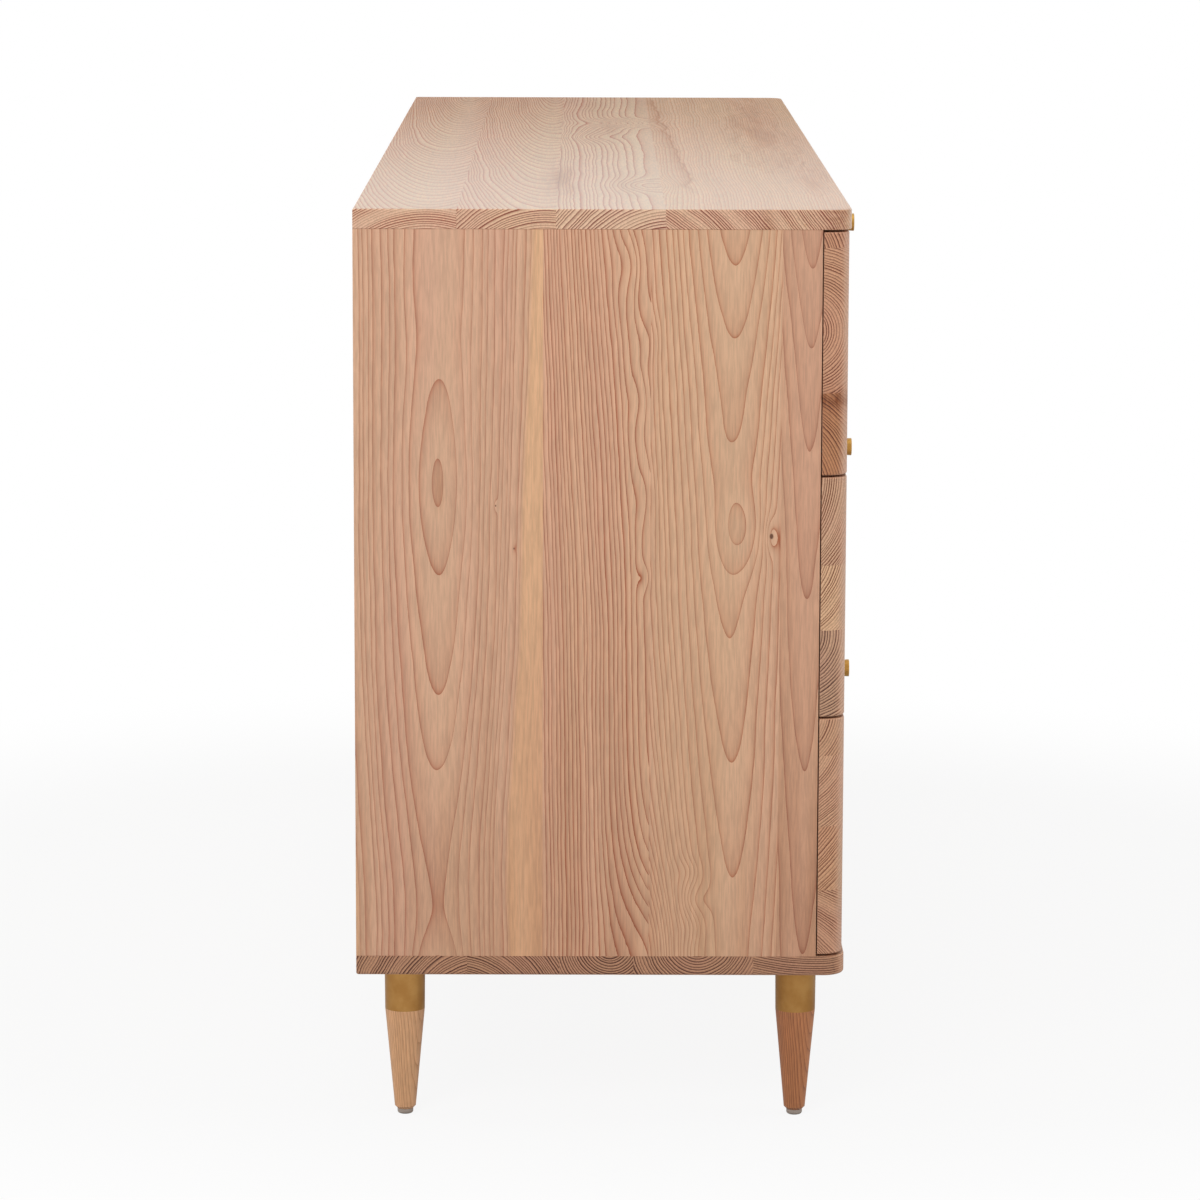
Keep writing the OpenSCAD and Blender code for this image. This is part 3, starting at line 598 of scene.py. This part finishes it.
# Drawer bottoms
# Plywood panels with their face grain across the drawers. Each slides loose in grooves of the four
# boards of its box.
panel_low, panel_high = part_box("drawer_bottom_left_top")
bottom_finish = veneer("bottom_plywood", AXIS_Y, AXIS_Z, panel_high.z - panel_low.z)
bottom_finish.cover(*["drawer_bottom_" + place for place in PLACES])

# Drawer fronts
# Solid wood with the grain along the dresser, glued up from two to four staves. Their outer ends show
# end grain, which the rounding carries round to the face.
front_low, front_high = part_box("drawer_front_left_top")
inner = front_high.y
left_fronts = {
    "top": [
        stave(0.6100, 0.600, inner + 0.060, 0.0026, pale=(209, 167, 140), wander=0.012,
              end_pale=(192, 136, 97), end_dark=(82, 24, 2), end_line=1.9),
        stave(0.6951, 0.752, inner + 0.018, 0.0025, pale=(213, 171, 143),
              end_pale=(214, 162, 130), end_dark=(96, 36, 10), end_line=1.9),
        stave(0.8290, 0.800, inner + 0.080, 0.0026, pale=(208, 166, 139),
              end_pale=(207, 155, 121), end_dark=(84, 24, 2), end_line=1.9),
    ],
    "middle": [
        stave(0.3900, 0.470, inner + 0.030, 0.0026, pale=(212, 172, 146),
              end_pale=(204, 161, 132), end_dark=(70, 24, 6), end_line=2.3),
        stave(0.4737, 0.560, inner + 0.070, 0.0024, pale=(215, 176, 149),
              end_pale=(228, 184, 148), end_dark=(104, 48, 18), end_line=1.8),
        stave(0.5348, 0.620, inner + 0.090, 0.0022, pale=(210, 169, 142),
              end_pale=(217, 174, 143), end_dark=(106, 54, 24), end_line=1.9),
    ],
    "bottom": [
        stave(0.1600, 0.120, inner + 0.050, 0.0022, pale=(207, 166, 139),
              end_pale=(211, 162, 130), end_dark=(98, 44, 16), end_line=1.9),
        stave(0.2270, 0.400, inner + 0.150, 0.0026, pale=(211, 170, 142),
              end_pale=(212, 161, 126), end_dark=(100, 44, 14), end_line=1.9),
        stave(0.2881, 0.390, inner + 0.060, 0.0022, pale=(214, 173, 145),
              end_pale=(219, 172, 139), end_dark=(102, 48, 20), end_line=1.9),
        stave(0.3553, 0.400, inner + 0.040, 0.0024, pale=(209, 167, 139),
              end_pale=(212, 164, 132), end_dark=(98, 44, 18), end_line=1.9),
    ],
}
# A brown patch in the outer end of the upper front
front_stains = [(front_low.x, 0.690, 0.060, 0.011, 0.7), (front_low.x, 0.688, 0.030, 0.005, 1.0)]
FRONT_CLIMB = 0.028
FRONT_LINE = 0.6
for row, staves in left_fronts.items():
    for board in staves:
        board["line"] = FRONT_LINE
        # The pith climbs along the front from its place at the outer end.
        board["climb"] = FRONT_CLIMB
        board["level"] += FRONT_CLIMB * front_low.x
    wood = timber("front_wood_left_" + row, AXIS_X, AXIS_Z, staves, stains=front_stains)
    wood.cover("drawer_front_left_" + row)
for number, row in enumerate(left_fronts):
    low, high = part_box("drawer_front_right_" + row)
    staves = any_staves(40 + number, low.z - 0.02, high.z, inner, widths=(0.06, 0.12))
    timber("front_wood_right_" + row, AXIS_X, AXIS_Z, staves).cover("drawer_front_right_" + row)

# Bumpers
# Clear polyurethane dots, stuck to the front edges of the case. The closed fronts rest against them,
# so that a thin dark gap shows behind each front.
bumper_finish = Finish("clear_bumper", ior=1.49)
bumper_finish.shader.inputs["Transmission Weight"].default_value = 0.7
haze = bumper_finish.place.noise(600)
bumper_finish.feed("Base Color", haze.mix(srgb(240, 240, 238), srgb(216, 217, 214)))
bumper_finish.feed("Roughness", 0.15 + haze * 0.2)
bumper_finish.cover("front_bumpers")

# Knobs
# Turned from brass bar, with the turning's fine rings on the face, and lacquered. A machine screw
# through the front and the box holds each one.
knob_low, knob_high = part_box("knob_right_top")
lower_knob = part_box("knob_right_middle")[0]
knob_pitch = knob_low.z - lower_knob.z
knob_centre = (knob_low + knob_high) / 2
knob_finish = Finish("knob_brass", metallic=1.0)
x, y, z = knob_finish.place.split()
aside = abs(x) - knob_centre.x
rise = (z - knob_centre.z + knob_pitch / 2) % knob_pitch - knob_pitch / 2
reach = (aside * aside + rise * rise) ** 0.5
turning = (reach * 5200 + y * 3400).line_noise(detail=2)
patina = knob_finish.place.noise(70, detail=3)
brass = patina.mix(srgb(206, 162, 88), srgb(190, 144, 74))
knob_finish.feed("Base Color", brass.tint(0.94 + turning * 0.08))
knob_finish.feed("Roughness", 0.26 + patina * 0.08 + turning * 0.05)
knob_finish.emboss(turning, 0.00003)
knob_finish.cover(*["knob_" + place for place in PLACES])

# Floor
# A plain white studio floor. It shows white to the lens, and near the object it keeps a soft shadow.
# It can be looked through from below, so that the underside shows.
FLOOR_REACH = 60
floor_mesh = bmesh.new()
bmesh.ops.create_grid(floor_mesh, x_segments=1, y_segments=1, size=FLOOR_REACH)
floor_data = bpy.data.meshes.new("floor")
floor_mesh.to_mesh(floor_data)
floor_mesh.free()
floor = bpy.data.objects.new("floor", floor_data)
bpy.context.scene.collection.objects.link(floor)
floor_finish = Finish("studio_floor", roughness=0.9)
floor_finish.shader.inputs["Base Color"].default_value = (0.60, 0.60, 0.60, 1)
floor_data.materials.append(floor_finish.material)
ground = floor_finish.place
distance = ground.node("ShaderNodeVectorMath", {"operation": "LENGTH"}, {0: ground}, out="Value")
far = distance.ease(0.8, 1.5)
lens_ray = ground.node("ShaderNodeLightPath", out="Is Camera Ray")
gloss_ray = ground.node("ShaderNodeLightPath", out="Is Glossy Ray")
share = ground.math("MAXIMUM", lens_ray * (far * 0.10 + 0.90), gloss_ray * (far * 0.70 + 0.30))
matt = Wire(floor_finish.shader.outputs[0])
glow = ground.node("ShaderNodeEmission", sockets={"Strength": 1.0})
upper = ground.node("ShaderNodeMixShader", sockets={0: share, 1: matt, 2: glow})
below = ground.node("ShaderNodeNewGeometry", out="Backfacing")
clear = ground.node("ShaderNodeBsdfTransparent")
sheet = ground.node("ShaderNodeMixShader", sockets={0: below, 1: upper, 2: clear})
floor_tree = floor_finish.material.node_tree
floor_tree.links.new(sheet.socket, floor_tree.nodes["Material Output"].inputs["Surface"])

# Light
# A white room, seen at full white but lighting the dresser more weakly. A large soft box hangs
# overhead, and others stand beside the lens, in front, behind and at the far end.
world = bpy.data.worlds.new("studio")
bpy.context.scene.world = world
world.use_nodes = True
sky = world.node_tree.nodes["Background"]
sky.inputs["Color"].default_value = (1, 1, 1, 1)
ROOM_LEVEL = 0.34
seen = 0
for kind in ("Is Camera Ray", "Is Glossy Ray", "Is Transmission Ray"):
    ray = Wire(sky.outputs[0]).node("ShaderNodeLightPath", out=kind)
    seen = ray.math("MAXIMUM", seen, ray)
strength = seen * (1 - ROOM_LEVEL) + ROOM_LEVEL
world.node_tree.links.new(strength.socket, sky.inputs["Strength"])


def soft_box(name, place, target, size, power, gloss=False):
    """A square lamp. Without gloss it leaves no glare on the lacquer."""
    lamp = bpy.data.lights.new(name, "AREA")
    lamp.shape = "SQUARE"
    lamp.size = size
    lamp.energy = power
    holder = bpy.data.objects.new(name, lamp)
    holder.location = place
    holder.rotation_mode = "QUATERNION"
    holder.rotation_quaternion = (Vector(target) - Vector(place)).to_track_quat("-Z", "Y")
    holder.visible_glossy = gloss
    bpy.context.scene.collection.objects.link(holder)


soft_box("overhead", (-1.3, -0.3, 4.0), (-0.3, 0, 0.4), 3.2, 13, gloss=True)
soft_box("beside_lens", (-3.6, 1.0, 2.6), (-0.8, 0, 0.6), 2.0, 73)
soft_box("in_front", (-1.0, -4.5, 1.8), (0, 0, 0.4), 3.0, 68)
soft_box("behind", (0.4, 4.5, 1.8), (0, 0, 0.4), 3.0, 58)
soft_box("far_end", (4.2, 0.3, 0.9), (0.8, 0, 0.45), 1.8, 38)

# Camera
# It looks along the dresser from its left end, a little down, so that the end panel, the top and
# the ends of the drawer fronts show.
EYE = Vector((-5.273, 0.027, 1.236))
DOWN = math.radians(9.397)
ASIDE = math.radians(-0.176)
ROLL = math.radians(0.17)
lens = bpy.data.cameras.new("camera")
lens.lens = 145.6
lens.sensor_width = 36
camera = bpy.data.objects.new("camera", lens)
camera.location = EYE
camera.rotation_mode = "QUATERNION"
sight = Vector((math.cos(ASIDE) * math.cos(DOWN), math.sin(ASIDE) * math.cos(DOWN), -math.sin(DOWN)))
camera.rotation_quaternion = sight.to_track_quat("-Z", "Y") @ Quaternion((0, 0, 1), ROLL)
bpy.context.scene.collection.objects.link(camera)
bpy.context.scene.camera = camera
bpy.context.scene.view_settings.view_transform = "Standard"
